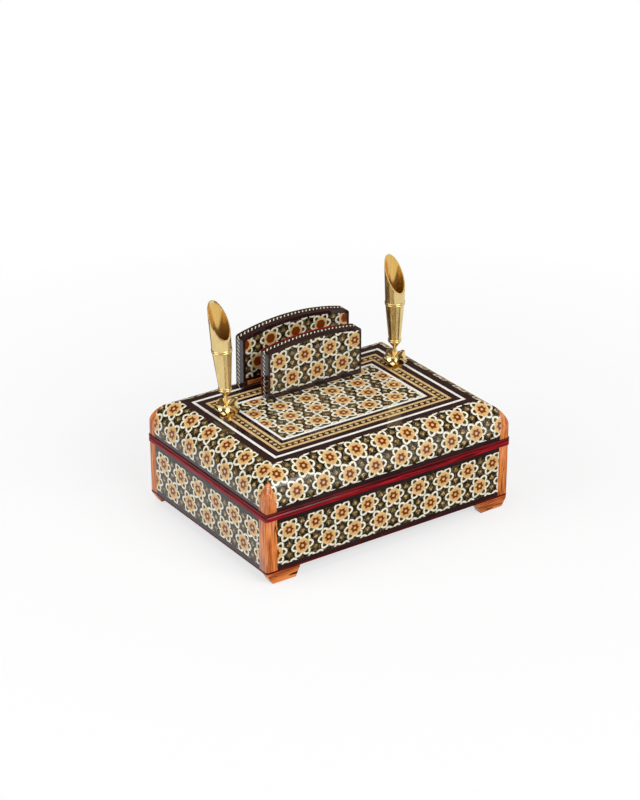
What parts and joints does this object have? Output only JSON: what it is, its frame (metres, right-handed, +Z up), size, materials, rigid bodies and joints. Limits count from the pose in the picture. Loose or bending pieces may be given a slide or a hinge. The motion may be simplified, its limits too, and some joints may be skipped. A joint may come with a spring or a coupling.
{
  "type": "desk pen box",
  "caption": "Wooden desk box on bracket feet with star marquetry, a hinged curved lid, a letter rack of arched plates and swivelling brass pen funnels in petal cups.",
  "frame": {"origin": "on the table, under the middle of the box", "axes": "+X to the right along the front, +Y from the front to the hinged back, +Z up"},
  "size_m": [0.2, 0.1464, 0.1598],
  "materials": {
    "core_wood": "sawn",
    "stained_wood": "stained and lacquered",
    "dark_wood": "stained and lacquered",
    "khatam": "marquetry under clear lacquer",
    "white_line": "polished",
    "red_lacquer": "red lacquer",
    "brass": "polished"
  },
  "bodies": {
    "base": {"bottom_board": "red_lacquer", "base_front_board": "core_wood", "base_back_board": "core_wood", "base_left_board": "core_wood", "base_right_board": "core_wood", "front_left_post": "stained_wood", "front_right_post": "stained_wood", "back_left_post": "stained_wood", "back_right_post": "stained_wood", "front_left_foot": "stained_wood", "front_right_foot": "stained_wood", "back_left_foot": "stained_wood", "back_right_foot": "stained_wood", "base_front_khatam": "khatam", "base_back_khatam": "khatam", "base_left_khatam": "khatam", "base_right_khatam": "khatam", "base_bands": "dark_wood", "base_lip": "red_lacquer", "liner": "red_lacquer", "hinge_base_leaves": "brass", "hinge_pins": "brass", "hinge_base_screws": "brass"},
    "lid": {"lid_front_moulding": "core_wood", "lid_front_khatam": "khatam", "lid_back_moulding": "core_wood", "lid_back_khatam": "khatam", "lid_left_moulding": "core_wood", "lid_left_khatam": "khatam", "lid_right_moulding": "core_wood", "lid_right_khatam": "khatam", "hinge_lid_leaves": "brass", "hinge_lid_screws": "brass", "lid_lip": "red_lacquer", "lid_bands": "dark_wood", "lid_corner_posts": "stained_wood", "top_board": "core_wood", "top_dark_bands": "dark_wood", "top_white_lines": "white_line", "top_khatam_band": "khatam", "top_centre_panel": "khatam", "rack_front_board": "core_wood", "rack_front_facings": "khatam", "rack_front_edging": "dark_wood", "rack_back_board": "core_wood", "rack_back_facings": "khatam", "rack_back_edging": "dark_wood", "rack_dowels": "core_wood", "left_petal_cup": "brass", "right_petal_cup": "brass", "cup_screws": "brass"},
    "left_swivel": {"left_ball_seat": "brass"},
    "left_holder": {"left_ball_stem": "brass", "left_funnel": "brass"},
    "right_swivel": {"right_ball_seat": "brass"},
    "right_holder": {"right_ball_stem": "brass", "right_funnel": "brass"}
  },
  "joints": [
    {"name": "lid_hinge", "type": "hinge", "parent": "base", "child": "lid", "pos_m": [0, 0.07165, 0.0495], "axis": [-1, 0, 0], "range_deg": [0, 99]},
    {"name": "left_swivel_turn", "type": "hinge", "parent": "lid", "child": "left_swivel", "pos_m": [-0.0695, 0.01955, 0.0838], "axis": [0, 0, 1], "continuous": true},
    {"name": "left_funnel_tilt", "type": "hinge", "parent": "left_swivel", "child": "left_holder", "pos_m": [-0.0695, 0.01955, 0.0838], "axis": [-0.5736, -0.8192, 0], "range_deg": [-28.5, 21.5]},
    {"name": "right_swivel_turn", "type": "hinge", "parent": "lid", "child": "right_swivel", "pos_m": [0.0695, 0.01955, 0.0838], "axis": [0, 0, 1], "continuous": true},
    {"name": "right_funnel_tilt", "type": "hinge", "parent": "right_swivel", "child": "right_holder", "pos_m": [0.0695, 0.01955, 0.0838], "axis": [-0.5736, -0.8192, 0], "range_deg": [-25.5, 24.5]}
  ]
}
